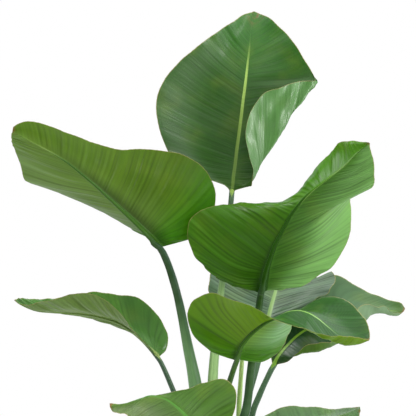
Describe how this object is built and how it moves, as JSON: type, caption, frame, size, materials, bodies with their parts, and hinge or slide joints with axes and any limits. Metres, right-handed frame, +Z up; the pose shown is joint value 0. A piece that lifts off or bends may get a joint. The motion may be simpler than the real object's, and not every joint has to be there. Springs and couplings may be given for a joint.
{
  "type": "potted bird of paradise plant",
  "caption": "Potted bird of paradise house plant: broad paddle leaves on long channelled stalks, a rolled young leaf, crowns and soil in a plain tapered round pot.",
  "frame": {"origin": "centre of the pot's flat underside, on the floor", "axes": "+Z up from the floor, +Y away from the picture's viewer, +X to the viewer's right"},
  "size_m": [0.7926, 0.5558, 1.4351],
  "materials": {
    "pot_ceramic": "satin",
    "potting_soil": "matte",
    "crown": "matte",
    "stalk": "satin",
    "blade": "satin",
    "young_leaf": "satin"
  },
  "bodies": {
    "root": {"pot": "pot_ceramic", "soil": "potting_soil", "crown_left": "crown", "crown_right": "crown", "crown_front": "crown", "stalk_top": "stalk", "blade_top": "blade", "stalk_left": "stalk", "blade_left": "blade", "stalk_right": "stalk", "blade_right": "blade", "stalk_low_left": "stalk", "blade_low_left": "blade", "stalk_centre": "stalk", "blade_centre": "blade", "stalk_back": "stalk", "blade_back": "blade", "stalk_right_back": "stalk", "blade_right_back": "blade", "stalk_front_left": "stalk", "blade_front_left": "blade", "stalk_front_right": "stalk", "blade_front_right": "blade", "young_leaf": "young_leaf"}
  },
  "joints": []
}
